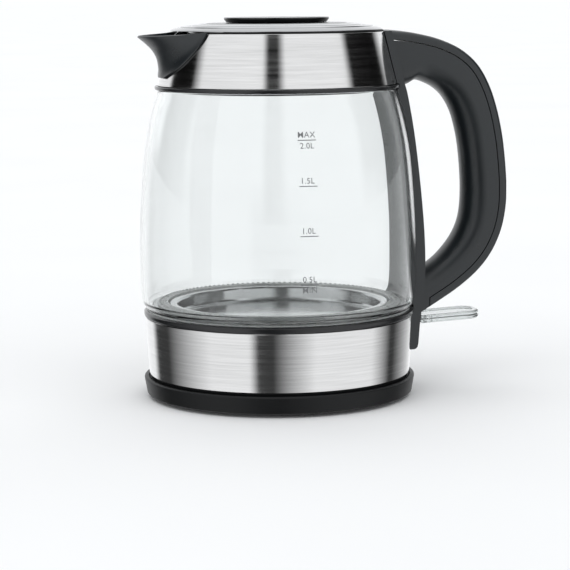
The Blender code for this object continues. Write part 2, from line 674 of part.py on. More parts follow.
clear_scene()
parts = new_collection("electric_kettle")
cutters = new_collection("cutters")
base = empty("power_base_axis", (AXIS_X, 0, 0))
swivel = empty("swivel_axis", (0, 0, 0), base)
kettle = empty("kettle_axis", (0, 0, KETTLE_Z), swivel)
lid = empty("lid_axis", (0, 0, 0), kettle)
lever_axis = empty("lever_axis", (LEVER_PIVOT[0], 0, LEVER_PIVOT[1]), kettle)
lever_axis.rotation_euler = (0, -LEVER_TILT, 0)
rocker_axis = empty("rocker_axis", (ROCKER_PIVOT[0], 0, ROCKER_PIVOT[1]), kettle)
filter_seat = empty("filter_seat", (-56.5, 0, 0), kettle)
filter_seat.rotation_euler = (0, 0, math.pi / 2)

power_base()
skirt_and_band()
heater()
control()
switch()
glass()
neck()
spout()
spout_filter()
handle()
lid_pieces()
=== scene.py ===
"""Looks of the electric kettle: high-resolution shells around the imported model, with procedural
brushed steel, chrome, clear glass, acrylic, silicone and moulded plastics, in a pale studio.

Lengths in the tables are millimetres. The kettle's heights count from the same datum as in the
model, just under its skirt, and its pieces have their origin on the axis of the round body.
"""

import json
import math

import bmesh
import bpy
from mathutils import Matrix, Vector

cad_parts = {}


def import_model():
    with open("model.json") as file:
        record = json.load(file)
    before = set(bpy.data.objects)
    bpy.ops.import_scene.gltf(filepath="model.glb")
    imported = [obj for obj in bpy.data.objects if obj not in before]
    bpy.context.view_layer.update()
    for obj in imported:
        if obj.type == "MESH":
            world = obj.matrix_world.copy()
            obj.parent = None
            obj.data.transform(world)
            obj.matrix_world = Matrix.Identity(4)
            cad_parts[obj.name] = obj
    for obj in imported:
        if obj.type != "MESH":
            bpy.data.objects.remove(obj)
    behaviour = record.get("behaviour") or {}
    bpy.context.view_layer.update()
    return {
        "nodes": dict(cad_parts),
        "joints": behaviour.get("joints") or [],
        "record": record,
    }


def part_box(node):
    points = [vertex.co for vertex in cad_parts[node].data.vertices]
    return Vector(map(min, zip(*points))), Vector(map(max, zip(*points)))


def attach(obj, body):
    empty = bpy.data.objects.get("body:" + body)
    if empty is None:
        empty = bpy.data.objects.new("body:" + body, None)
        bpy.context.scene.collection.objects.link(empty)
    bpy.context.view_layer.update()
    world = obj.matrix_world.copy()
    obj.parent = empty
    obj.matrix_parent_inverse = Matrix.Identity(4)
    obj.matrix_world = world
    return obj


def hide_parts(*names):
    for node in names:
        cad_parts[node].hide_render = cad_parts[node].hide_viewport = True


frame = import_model()

MM = 0.001
SKIRT_BOTTOM = 1.4
SPOUT_REACH = 83.5
HANDLE_REACH = 142.0
COLLAR_BOTTOM = (70.6, 174.6)
COLLAR_TOP = (62.9, 205.2)
BAND_BOTTOM = (77.9, 3.6)
BAND_TOP = (79.9, 37.8)
STEEL_WALL = 0.9
GLASS_WALL = 2.9
GLASS_TOP = 172.0
GLASS_BOTTOM = 42.1
LID_HOLE = 51.6
BASE_SEAT = 11.6
POST_RADIUS = 17.0
POST_TOP = 23.6
GAP = 0.3
HANDLE_HALF_WIDTH = 13.5
OUTER_EDGE = 3.0
INNER_EDGE = 12.5
CROWN = 0.7
COVER_DEPTH = 5.6
COVER_START = 67.5
COVER_END = 91.5
SEAM = 0.6
SPINE_HALF_WIDTH = 20.8
LEVER_TILT = math.radians(2.2)
STEPS = 144

glass_low, glass_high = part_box("glass_body")
skirt_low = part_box("bottom_skirt")[0]
AXIS = Vector(((glass_low.x + glass_high.x) / 2, (glass_low.y + glass_high.y) / 2, 0))
KETTLE = Matrix.Translation((AXIS.x, AXIS.y, skirt_low.z - SKIRT_BOTTOM * MM))
BASE = Matrix.Translation((AXIS.x, AXIS.y, 0))
JOINTS = {joint["name"]: joint for joint in frame["joints"]}


# Node helpers

def new_material(name):
    made = bpy.data.materials.new(name)
    made.use_nodes = True
    nodes = made.node_tree.nodes
    return made, nodes, made.node_tree.links, nodes["Principled BSDF"]


def object_coordinates(nodes, links, scale):
    """Object coordinates, in metres, stretched by a scale for each axis."""
    source = nodes.new("ShaderNodeTexCoord")
    mapping = nodes.new("ShaderNodeMapping")
    mapping.inputs["Scale"].default_value = scale
    links.new(source.outputs["Object"], mapping.inputs["Vector"])
    return mapping.outputs["Vector"]


def noise(nodes, links, vector, scale=1.0, detail=2.0, roughness=0.5):
    made = nodes.new("ShaderNodeTexNoise")
    made.inputs["Scale"].default_value = scale
    made.inputs["Detail"].default_value = detail
    made.inputs["Roughness"].default_value = roughness
    links.new(vector, made.inputs["Vector"])
    return made.outputs["Fac"]


def spread(nodes, links, value, low, high, start=0.3, end=0.7):
    made = nodes.new("ShaderNodeMapRange")
    made.inputs["From Min"].default_value = start
    made.inputs["From Max"].default_value = end
    made.inputs["To Min"].default_value = low
    made.inputs["To Max"].default_value = high
    links.new(value, made.inputs["Value"])
    return made.outputs["Result"]


def two_tone(nodes, links, value, dark, light):
    ramp = nodes.new("ShaderNodeValToRGB")
    ramp.color_ramp.elements[0].position = 0.3
    ramp.color_ramp.elements[0].color = (*dark, 1)
    ramp.color_ramp.elements[1].position = 0.7
    ramp.color_ramp.elements[1].color = (*light, 1)
    links.new(value, ramp.inputs["Fac"])
    return ramp.outputs["Color"]


def bump(nodes, links, height, depth, strength=1.0, over=None):
    made = nodes.new("ShaderNodeBump")
    made.inputs["Strength"].default_value = strength
    made.inputs["Distance"].default_value = depth
    links.new(height, made.inputs["Height"])
    if over is not None:
        links.new(over, made.inputs["Normal"])
    return made.outputs["Normal"]


def shade(colour, factor):
    return tuple(channel * factor for channel in colour)


# Materials

def moulded(name, colour, roughness, grain=0.45, depth=0.02, coat=0.0, specular=0.5):
    """Moulded plastic or rubber: a spark-eroded grain, soft flow marks and slightly uneven gloss."""
    made, nodes, links, shader = new_material(name)
    fine = object_coordinates(nodes, links, (1, 1, 1))
    grain_height = noise(nodes, links, fine, 1000 / grain, 3.0, 0.6)
    cloud = noise(nodes, links, fine, 38.0, 4.0, 0.6)
    wave = noise(nodes, links, fine, 60.0, 1.0, 0.5)
    ripple = bump(nodes, links, wave, 0.1 * MM, 0.35)
    links.new(bump(nodes, links, grain_height, depth * MM, 1.0, ripple), shader.inputs["Normal"])
    links.new(spread(nodes, links, cloud, roughness - 0.04, roughness + 0.05), shader.inputs["Roughness"])
    links.new(two_tone(nodes, links, cloud, shade(colour, 0.88), shade(colour, 1.12)),
              shader.inputs["Base Color"])
    shader.inputs["Specular IOR Level"].default_value = specular
    shader.inputs["Coat Weight"].default_value = coat
    shader.inputs["Coat Roughness"].default_value = 0.12
    return made


def brushed(name, colour, roughness, anisotropic=0.8, streak=0.1):
    """Steel brushed round its axis: long fine scratches, broader streaks and a stretched gloss."""
    made, nodes, links, shader = new_material(name)
    source = nodes.new("ShaderNodeTexCoord")
    split = nodes.new("ShaderNodeSeparateXYZ")
    links.new(source.outputs["Object"], split.inputs["Vector"])
    flat = nodes.new("ShaderNodeCombineXYZ")
    links.new(split.outputs["X"], flat.inputs["X"])
    links.new(split.outputs["Y"], flat.inputs["Y"])
    length = nodes.new("ShaderNodeVectorMath")
    length.operation = "LENGTH"
    links.new(flat.outputs["Vector"], length.inputs[0])
    across = nodes.new("ShaderNodeMath")
    across.operation = "ADD"
    links.new(length.outputs["Value"], across.inputs[0])
    links.new(split.outputs["Z"], across.inputs[1])

    def scratches(along, crosswise, detail):
        scale = nodes.new("ShaderNodeCombineXYZ")
        for axis in ("X", "Y"):
            stretched = nodes.new("ShaderNodeMath")
            stretched.operation = "MULTIPLY"
            stretched.inputs[1].default_value = along
            links.new(split.outputs[axis], stretched.inputs[0])
            links.new(stretched.outputs["Value"], scale.inputs[axis])
        fine = nodes.new("ShaderNodeMath")
        fine.operation = "MULTIPLY"
        fine.inputs[1].default_value = crosswise
        links.new(across.outputs["Value"], fine.inputs[0])
        links.new(fine.outputs["Value"], scale.inputs["Z"])
        return noise(nodes, links, scale.outputs["Vector"], 1.0, detail, 0.6)

    broad = scratches(22.0, 900.0, 3.0)
    hair = scratches(45.0, 5200.0, 2.0)
    links.new(two_tone(nodes, links, broad, shade(colour, 1 - streak), shade(colour, 1 + streak / 2)),
              shader.inputs["Base Color"])
    links.new(spread(nodes, links, broad, roughness - 0.03, roughness + 0.05), shader.inputs["Roughness"])
    lines = bump(nodes, links, hair, 0.004 * MM, 0.6)
    links.new(bump(nodes, links, broad, 0.006 * MM, 0.5, lines), shader.inputs["Normal"])
    tangent = nodes.new("ShaderNodeTangent")
    tangent.direction_type = "RADIAL"
    tangent.axis = "Z"
    links.new(tangent.outputs["Tangent"], shader.inputs["Tangent"])
    shader.inputs["Metallic"].default_value = 1.0
    shader.inputs["Anisotropic"].default_value = anisotropic
    shader.inputs["Anisotropic Rotation"].default_value = 0.25
    return made


def polished(name, colour, roughness, mark=0.004):
    """Bright metal with faint wiping marks."""
    made, nodes, links, shader = new_material(name)
    place = object_coordinates(nodes, links, (1, 1, 1))
    smudge = noise(nodes, links, place, 55.0, 5.0, 0.65)
    wipes = noise(nodes, links, object_coordinates(nodes, links, (60, 900, 60)), 1.0, 3.0, 0.6)
    links.new(spread(nodes, links, smudge, roughness * 0.7, roughness * 1.4), shader.inputs["Roughness"])
    links.new(two_tone(nodes, links, smudge, shade(colour, 0.95), colour), shader.inputs["Base Color"])
    links.new(bump(nodes, links, wipes, mark * MM, 0.4), shader.inputs["Normal"])
    shader.inputs["Metallic"].default_value = 1.0
    return made


def clear(name, colour, ior, roughness=0.0, wave=0.12):
    """Glass or acrylic, with the slight unevenness of a blown or moulded wall."""
    made, nodes, links, shader = new_material(name)
    place = object_coordinates(nodes, links, (1, 1, 1))
    swell = noise(nodes, links, place, 14.0, 1.0, 0.4)
    links.new(bump(nodes, links, swell, wave * MM, 0.5), shader.inputs["Normal"])
    links.new(two_tone(nodes, links, swell, shade(colour, 0.992), colour), shader.inputs["Base Color"])
    shader.inputs["Roughness"].default_value = roughness
    shader.inputs["IOR"].default_value = ior
    shader.inputs["Transmission Weight"].default_value = 1.0
    return made


def translucent(name, colour, roughness, through=0.6):
    """Silicone: milky, a little uneven and soft to the touch."""
    made, nodes, links, shader = new_material(name)
    place = object_coordinates(nodes, links, (1, 1, 1))
    cloud = noise(nodes, links, place, 120.0, 3.0, 0.6)
    links.new(two_tone(nodes, links, cloud, shade(colour, 0.93), colour), shader.inputs["Base Color"])
    links.new(spread(nodes, links, cloud, roughness - 0.06, roughness + 0.08), shader.inputs["Roughness"])
    links.new(bump(nodes, links, noise(nodes, links, place, 900.0), 0.02 * MM), shader.inputs["Normal"])
    shader.inputs["IOR"].default_value = 1.41
    shader.inputs["Transmission Weight"].default_value = through
    return made


SLATE = moulded("slate_plastic", (0.0095, 0.0128, 0.015), 0.31, 0.5, 0.02, specular=0.55)
GLOSS_BLACK = moulded("gloss_black_plastic", (0.008, 0.0085, 0.0095), 0.2, 0.9, 0.006)
SATIN_BLACK = moulded("black_plastic", (0.006, 0.0065, 0.007), 0.42, 0.45, 0.03, specular=0.22)
GREY = moulded("grey_plastic", (0.075, 0.08, 0.082), 0.42, 0.5, 0.02)
RUBBER = moulded("rubber", (0.014, 0.014, 0.014), 0.72, 0.7, 0.05)
INK = moulded("mark_ink", (0.16, 0.165, 0.17), 0.5, 0.3, 0.01)
STEEL = brushed("brushed_steel", (0.71, 0.705, 0.7), 0.14, 0.9, 0.12)
DISH = brushed("dish_steel", (0.46, 0.47, 0.47), 0.14, 0.7, 0.05)
CHROME = polished("polished_steel", (0.4, 0.405, 0.41), 0.12)
BRASS = polished("brass", (0.72, 0.52, 0.23), 0.28)
ALUMINIUM = polished("aluminium", (0.68, 0.68, 0.69), 0.34, 0.01)
GLASS = clear("clear_glass", (0.942, 0.955, 0.952), 1.5)
ACRYLIC = clear("clear_acrylic", (0.66, 0.69, 0.685), 1.49, 0.01, 0.2)
SILICONE = translucent("silicone", (0.86, 0.88, 0.87), 0.3, 0.15)

LOOKS = {
    "slate_plastic": SLATE, "gloss_black_plastic": GLOSS_BLACK, "black_plastic": SATIN_BLACK,
    "grey_plastic": GREY, "rubber": RUBBER, "brushed_steel": STEEL, "polished_steel": CHROME,
    "brass": BRASS, "aluminium": ALUMINIUM, "clear_glass": GLASS, "clear_acrylic": ACRYLIC,
    "silicone": SILICONE,
}


# Shape helpers

def fillet(profile, radius, closed=True):
    """The profile with each corner replaced by a short arc; a corner on the axis stays."""
    points = [Vector(point) for point in profile]
    count = len(points)
    result = []
    for i, point in enumerate(points):
        if (point.x < 1e-6) or (not closed and i in (0, count - 1)):
            result.append(point)
            continue
        before = points[i - 1] - point
        after = points[(i + 1) % count] - point
        turn = math.pi - before.angle(after)
        if turn < math.radians(12):
            result.append(point)
            continue
        reach = min(radius * math.tan(turn / 2), 0.45 * before.length, 0.45 * after.length)
        start = point + before.normalized() * reach
        end = point + after.normalized() * reach
        pieces = max(2, round(math.degrees(turn) / 18))
        for step in range(pieces + 1):
            t = step / pieces
            result.append(start * (1 - t) ** 2 + point * 2 * t * (1 - t) + end * t**2)
    return [tuple(point) for point in result]


def smooth_line(points, per_span=4):
    """A Catmull-Rom curve through the points."""
    path = [Vector(point) for point in points]
    ends = [2 * path[0] - path[1]] + path + [2 * path[-1] - path[-2]]
    line = []
    for i in range(1, len(ends) - 2):
        before, start, end, after = ends[i - 1 : i + 3]
        for step in range(per_span):
            t = step / per_span
            line.append(0.5 * (
                2 * start + (end - before) * t
                + (2 * before - 5 * start + 4 * end - after) * t**2
                + (3 * start - before - 3 * end + after) * t**3
            ))
    return [tuple(point) for point in line] + [tuple(path[-1])]


def offset_line(points, distance):
    """The line moved sideways, to the right of its direction of travel."""
    path = [Vector(point) for point in points]
    moved = []
    for i, point in enumerate(path):
        into = (point - path[i - 1]).normalized() if i else None
        out = (path[i + 1] - point).normalized() if i + 1 < len(path) else None
        into = into or out
        out = out or into
        along = (into + out).normalized()
        side = Vector((along.y, -along.x))
        moved.append(tuple(point + side * distance / max(along.dot(into), 0.5)))
    return moved


def height_at(points, x):
    for (x0, z0), (x1, z1) in zip(points, points[1:]):
        if min(x0, x1) <= x <= max(x0, x1):
            return z0 + (z1 - z0) * (x - x0) / (x1 - x0)
    raise ValueError(f"the line doesn't reach {x}")


def object_from(name, mesh, matrix):
    made = bpy.data.objects.new(name, mesh)
    made.matrix_world = matrix
    bpy.context.scene.collection.objects.link(made)
    return made


def turned_solid(name, profile, matrix, steps=STEPS):
    """A profile of (radius, height) points turned round the local Z axis."""
    shape = bmesh.new()
    on_axis = profile[0][0] < 1e-6
    verts = [shape.verts.new((radius * MM, 0, height * MM)) for radius, height in profile]
    pairs = list(zip(verts, verts[1:]))
    if not on_axis:
        pairs.append((verts[-1], verts[0]))
    edges = [shape.edges.new(pair) for pair in pairs]
    bmesh.ops.spin(shape, geom=verts + edges, cent=(0, 0, 0), axis=(0, 0, 1), angle=2 * math.pi,
                   steps=steps, use_merge=True)
    bmesh.ops.remove_doubles(shape, verts=shape.verts, dist=1e-7)
    bmesh.ops.recalc_face_normals(shape, faces=shape.faces)
    mesh = bpy.data.meshes.new(name)
    shape.to_mesh(mesh)
    shape.free()
    return object_from(name, mesh, matrix)


def rod_solid(name, radius, start, end, matrix, steps=32):
    start = Vector(start) * MM
    end = Vector(end) * MM
    turn = (end - start).to_track_quat("Z", "Y").to_matrix().to_4x4()
    shape = bmesh.new()
    bmesh.ops.create_cone(shape, cap_ends=True, segments=steps, radius1=radius * MM,
                          radius2=radius * MM, depth=(end - start).length,
                          matrix=Matrix.Translation((start + end) / 2) @ turn)
    mesh = bpy.data.meshes.new(name)
    shape.to_mesh(mesh)
    shape.free()
    return object_from(name, mesh, matrix)


def box_solid(name, low, high, matrix):
    low = Vector(low) * MM
    high = Vector(high) * MM
    shape = bmesh.new()
    bmesh.ops.create_cube(shape, size=1.0, matrix=Matrix.Translation((low + high) / 2)
                          @ Matrix.Diagonal((*(high - low), 1.0)))
    mesh = bpy.data.meshes.new(name)
    shape.to_mesh(mesh)
    shape.free()
    return object_from(name, mesh, matrix)


def slab_solid(name, outline, half_depth, matrix, upright=True):
    """A flat outline thickened both ways: across Y when upright, across Z when it lies flat."""
    shape = bmesh.new()

    def corner(x, y, side):
        third = side * half_depth * MM
        return (x * MM, third, y * MM) if upright else (x * MM, y * MM, third)

    near = [shape.verts.new(corner(x, y, -1)) for x, y in outline]
    far = [shape.verts.new(corner(x, y, 1)) for x, y in outline]
    count = len(outline)
    for i in range(count):
        after = (i + 1) % count
        shape.faces.new((near[i], near[after], far[after], far[i]))
    shape.faces.new(near)
    shape.faces.new(far[::-1])
    bmesh.ops.recalc_face_normals(shape, faces=shape.faces)
    mesh = bpy.data.meshes.new(name)
    shape.to_mesh(mesh)
    shape.free()
    return object_from(name, mesh, matrix)


def combine(piece, tools, operation="DIFFERENCE"):
    """Applies Booleans with the tools and removes the tools."""
    for tool in tools:
        boolean = piece.modifiers.new(tool.name, "BOOLEAN")
        boolean.operation = operation
        boolean.object = tool
    settle(piece)
    for tool in tools:
        bpy.data.objects.remove(tool, do_unlink=True)
    return piece


def settle(piece):
    """Replaces the piece's mesh by the one that its modifiers make."""
    bpy.context.view_layer.update()
    graph = bpy.context.evaluated_depsgraph_get()
    mesh = bpy.data.meshes.new_from_object(piece.evaluated_get(graph))
    piece.modifiers.clear()
    piece.data = mesh


def dress(piece, look, slot, body, *nodes, sharp=32, weighted=True):
    """Smooth shading with creases at real edges, the finish's material and the body; the parts it stands
    for are hidden.
    """
    mesh = piece.data
    mesh.materials.clear()
    mesh.materials.append(look)
    shape = bmesh.new()
    shape.from_mesh(mesh)
    for face in shape.faces:
        face.smooth = True
        face.material_index = 0
    limit = math.radians(sharp)
    for edge in shape.edges:
        edge.smooth = len(edge.link_faces) != 2 or edge.calc_face_angle(0) < limit
    shape.to_mesh(mesh)
    shape.free()
    if weighted:
        normals = piece.modifiers.new("normals", "WEIGHTED_NORMAL")
        normals.keep_sharp = True
        normals.weight = 80
    if nodes:
        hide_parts(*nodes)
    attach(piece, body)
    return piece


def turned(name, profile, look, slot, body, *nodes, matrix=KETTLE, edge=0.35, steps=STEPS):
    rounded = fillet(profile, edge, closed=profile[0][0] > 1e-6) if edge else profile
    return dress(turned_solid(name, rounded, matrix, steps), look, slot, body, *nodes)


def collar_radius(height):
    slope = (COLLAR_TOP[0] - COLLAR_BOTTOM[0]) / (COLLAR_TOP[1] - COLLAR_BOTTOM[1])
    return COLLAR_BOTTOM[0] + slope * (height - COLLAR_BOTTOM[1])


GLASS_POINTS = [
    (70.2, GLASS_TOP), (71.3, 168.5), (73.2, 162.5), (76.0, 151.0), (78.6, 136.5), (80.5, 118.0),
    (82.0, 95.0), (82.5, 76.0), (82.4, 62.0), (81.9, 51.5), (80.9, 46.0), (79.3, 43.2),
    (77.2, GLASS_BOTTOM),
]
GLASS_SIDE = [(min(radius, 82.4), height) for radius, height in smooth_line(GLASS_POINTS, 4)]


def glass_radius(height):
    return height_at([(z, r) for r, z in GLASS_SIDE], height)


# The power base

def power_base():
    turned("base_shell", [
        (POST_RADIUS + GAP, BASE_SEAT), (77.6, BASE_SEAT), (78.4, 12.5), (80.2, 12.5), (81.0, 11.7),
        (79.4, 2.4), (77.2, 2.4), (78.2, 9.2), (POST_RADIUS + GAP, 9.2),
    ], SATIN_BLACK, "black_plastic", "power_base", "base_top_plate", matrix=BASE, edge=0.6)
    cover = turned_solid("base_underside", fillet([
        (0, 3.4), (76.7, 3.4), (76.7, 1.6), (60, 1.6), (59.4, 2.1), (52, 2.1), (51.4, 1.6), (0, 1.6),
    ], 0.3, False), BASE)
    holes = []
    for i in range(3):
        angle = math.radians(90 + 120 * i)
        x, y = 45 * math.cos(angle), 45 * math.sin(angle)
        holes.append(rod_solid(f"hole_{i}", 1.8, (x, y, 0), (x, y, 5), BASE))
        screw(f"base_screw_head_{i + 1}", (x, y, 0.5), f"base_screw_{i + 1}", "power_base", BASE, 0.8)
        foot(i, 66 * math.cos(angle + math.pi / 3), 66 * math.sin(angle + math.pi / 3))
    combine(cover, holes)
    dress(cover, SATIN_BLACK, "black_plastic", "power_base", "base_bottom_cover")
    turned("base_connector", [
        (0, 13.0), (2.3, 13.0), (2.3, POST_TOP), (4.4, POST_TOP), (4.4, 14.0), (6.6, 14.0),
        (6.6, POST_TOP), (10.4, POST_TOP), (10.4, 14.0), (12.6, 14.0), (12.6, POST_TOP),
        (POST_RADIUS, POST_TOP), (POST_RADIUS, 8.9), (21.0, 8.9), (21.0, 6.6), (POST_RADIUS, 6.6),
        (POST_RADIUS, 3.8), (0, 3.8),
    ], SATIN_BLACK, "black_plastic", "power_base", "base_connector_post", matrix=BASE, edge=0.5, steps=96)
    turned("base_ring", [
        (17.5, 14.7), (18.9, 14.7), (19.5, 13.9), (19.5, BASE_SEAT + GAP), (17.5, BASE_SEAT + GAP),
    ], GREY, "grey_plastic", "swivel_ring", "base_centring_ring", matrix=BASE, edge=0.4, steps=96)
    bush_matrix = BASE @ Matrix.Translation((0, 71.5 * MM, 6.7 * MM))
    bush_matrix @= Matrix.Rotation(-math.pi / 2, 4, "X")
    turned("base_bush", [
        (2.0, 10.0), (2.5, 10.1), (2.9, 9.6), (2.9, 0), (2.0, 0),
    ], RUBBER, "rubber", "power_base", "cord_outlet_bush", matrix=bush_matrix, edge=0.2, steps=40)


def foot(i, x, y):
    matrix = BASE @ Matrix.Translation((x * MM, y * MM, 0))
    turned(f"foot_{i + 1}", [
        (0, 1.3), (6.0, 1.3), (6.0, 0.4), (5.6, 0.0), (4.4, 0.0), (4.1, 0.3), (3.3, 0.3), (3.0, 0.0),
        (0, 0.0),
    ], RUBBER, "rubber", "power_base", f"base_foot_{i + 1}", matrix=matrix, edge=0.15, steps=48)


def screw(name, head, node, body, matrix, head_height, radius=3.0):
    """A domed head with a cross recess on a short shank; the head's face looks down."""
    low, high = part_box(node)
    length = (high.z - low.z) / MM
    place = matrix @ Matrix.Translation(Vector(head) * MM)
    made = turned_solid(name, fillet([
        (0, length), (1.35, length), (1.35, head_height), (radius, head_height), (radius, 0.25),
        (radius - 0.5, 0.0), (0, 0.0),
    ], 0.12, False), place, 32)
    slots = [box_solid(name + "_a", (-1.7, -0.3, -1), (1.7, 0.3, 0.5), place),
             box_solid(name + "_b", (-0.3, -1.7, -1), (0.3, 1.7, 0.5), place)]
    combine(made, slots)
    return dress(made, ALUMINIUM, "aluminium", body, node)


# The bottom of the kettle

def bottom():
    skirt = turned_solid("kettle_skirt", fillet([
        (74.2, 9.0), (76.3, 9.0), (76.3, 3.3), (77.2, 3.3), (76.8, SKIRT_BOTTOM), (71.0, SKIRT_BOTTOM),
        (69.6, 2.9), (24.6, 2.9), (24.6, 4.9), (72.6, 4.9),
    ], 0.4), KETTLE)
    tools = []
    for i in range(3):
        angle = math.radians(60 + 120 * i)
        x, y = 70 * math.cos(angle), 70 * math.sin(angle)
        tools.append(rod_solid(f"pocket_{i}", 3.4, (x, y, 0), (x, y, 3.0), KETTLE))
        tools.append(rod_solid(f"hole_{i}", 1.8, (x, y, 2.0), (x, y, 7.0), KETTLE))
        screw(f"skirt_screw_head_{i + 1}", (x, y, 1.8), f"skirt_screw_{i + 1}", "kettle", KETTLE, 0.9)
        boss = KETTLE @ Matrix.Translation((x * MM, y * MM, 0))
        turned(f"skirt_boss_{i + 1}", [
            (1.7, 8.5), (1.7, 18.0), (0.5, 18.5), (0.5, 36.6), (3.2, 36.6), (3.2, 8.5),
        ], SATIN_BLACK, "black_plastic", "kettle", matrix=boss, edge=0.2, steps=32)
    combine(skirt, tools)
    dress(skirt, SATIN_BLACK, "black_plastic", "kettle", "bottom_skirt")
    inner = -STEEL_WALL
    band = turned_solid("kettle_band", fillet([
        (BAND_TOP[0] + inner, BAND_TOP[1]), BAND_TOP, BAND_BOTTOM, (BAND_BOTTOM[0] + inner, BAND_BOTTOM[1]),
    ], 0.4), KETTLE, 192)
    combine(band, [box_solid("band_slot", (74, -7.8, 25.6), (86, 7.8, 34.6), KETTLE)])
    dress(band, STEEL, "brushed_steel", "kettle", "steel_band")
    turned("glass_seat", [
        (66.8, 41.8), (79.4, 41.8), (80.5, 40.8), (80.55, 39.0), (80.3, 38.4), (79.9, 38.1), (78.7, 38.1),
        (78.7, 36.9), (66.8, 36.9),
    ], GLOSS_BLACK, "gloss_black_plastic", "kettle", "lower_glass_ring", edge=0.5, steps=192)
    turned("connector_cup", [
        (2.4, 16.0), (24.0, 16.0), (24.0, 7.2), (27.0, 7.2), (27.0, 5.2), (24.2, 5.2), (24.2, 2.4),
        (20.8, 2.4), (20.8, 14.3), (2.4, 14.3),
    ], SATIN_BLACK, "black_plastic", "kettle", "connector_housing", edge=0.4, steps=96)


def heating_dish():
    top_face = [
        (0, 37.0), (57.6, 37.0), (59.0, 37.5), (59.7, 38.8), (60.4, 44.2), (61.0, 45.2), (61.7, 45.6),
        (64.8, 45.6), (65.8, 44.8), (65.8, 40.4),
    ]
    under_face = offset_line(top_face, 0.8)
    under_face[0] = (0, 36.2)
    dish = turned_solid("heating_dish", fillet(top_face + under_face[::-1], 0.5, False), KETTLE, 160)
    dress(dish, DISH, "brushed_steel", "kettle", "heating_plate")
    turned("glass_gasket", [
        (66.2, 46.5), (67.4, 46.5), (67.8, 46.1), (68.6, 46.1), (69.0, 46.5), (72.0, 46.4), (73.2, 45.5),
        (69.7, 45.3), (69.7, 42.2), (66.2, 42.2),
    ], SILICONE, "silicone", "kettle", "plate_gasket", edge=0.25, steps=160)
    turned("seat_washer", [(66.2, 42.05), (78.6, 42.05), (78.6, 41.85), (66.2, 41.85)], SILICONE,
           "silicone", "kettle", edge=0, steps=160)
    beads = bmesh.new()
    count = 132
    for i in range(count):
        angle = 2 * math.pi * i / count
        where = Matrix.Rotation(angle, 4, "Z") @ Matrix.Translation((71.0 * MM, 0, 46.5 * MM))
        bmesh.ops.create_uvsphere(beads, u_segments=8, v_segments=6, radius=1.0,
                                  matrix=where @ Matrix.Diagonal((0.6 * MM, 1.05 * MM, 0.55 * MM, 1)))
    mesh = bpy.data.meshes.new("gasket_beads")
    beads.to_mesh(mesh)
    beads.free()
    dress(object_from("gasket_beads", mesh, KETTLE), SILICONE, "silicone", "kettle", weighted=False)


# The glass and its marks

def glass():
    inner = offset_line(GLASS_SIDE, GLASS_WALL)
    inside = [(inner[0][0], GLASS_TOP)] + [p for p in inner[1:] if p[1] > 47.4]
    floor = GLASS_BOTTOM + GLASS_WALL
    outline = GLASS_SIDE + [(70.0, GLASS_BOTTOM), (70.0, floor), (75.2, floor), (76.6, 45.6)]
    outline += inside[::-1]
    turned("glass_jug", outline, GLASS, "clear_glass", "kettle", "glass_body", edge=0.8, steps=192)
    turned("glass_collar", [
        (64.6, 174.3), (71.9, 174.3), (72.2, 173.9), (72.2, 172.6), (71.9, 172.3), (66.6, 172.3),
        (66.3, 171.9), (66.3, 170.8), (65.9, 170.4), (64.6, 170.4),
    ], GLOSS_BLACK, "gloss_black_plastic", "kettle", "upper_glass_ring", edge=0.35, steps=192)
    for text, height, gap in (("MAX", 146.6, 1), ("2.0L", 146.6, -1), ("1.5L", 121.1, 1),
                              ("1.0L", 93.2, 1), ("0.5L", 65.9, 1), ("MIN", 65.9, -1)):
        mark_text(text, height, gap)
    for i, height in enumerate((146.6, 121.1, 93.2, 65.9)):
        bar = bmesh.new()
        bmesh.ops.create_grid(bar, x_segments=12, y_segments=1, size=0.5,
                              matrix=Matrix.Diagonal((MARK_WIDTH, MARK_LINE, 1, 1)))
        wrap_mark(f"mark_line_{i + 1}", bar, height)


MARK_AZIMUTH = math.radians(-93.7)
MARK_WIDTH = 10.4
MARK_LINE = 0.5
TEXT_HEIGHT = 3.2
TEXT_GAP = 1.2


def mark_text(text, height, side):
    """Letters just above or just below a mark's line."""
    data = bpy.data.curves.new("mark", "FONT")
    data.body = text
    data.size = 1.0
    data.space_character = 1.05
    data.resolution_u = 4
    data.offset = 0.003
    guide = object_from("mark_guide", data, Matrix.Identity(4))
    bpy.context.view_layer.update()
    mesh = bpy.data.meshes.new_from_object(guide.evaluated_get(bpy.context.evaluated_depsgraph_get()))
    bpy.data.objects.remove(guide, do_unlink=True)
    letters = bmesh.new()
    letters.from_mesh(mesh)
    low = Vector([min(v.co[k] for v in letters.verts) for k in range(3)])
    high = Vector([max(v.co[k] for v in letters.verts) for k in range(3)])
    scale = TEXT_HEIGHT / (high.y - low.y)
    bottom = MARK_LINE / 2 + TEXT_GAP if side > 0 else -MARK_LINE / 2 - TEXT_GAP - TEXT_HEIGHT
    for vert in letters.verts:
        across = (vert.co.x - (low.x + high.x) / 2) * scale
        vert.co = Vector((across, bottom + (vert.co.y - low.y) * scale, 0))
    name = "mark_" + text.lower().replace(".", "_")
    wrap_mark(name, letters, height)


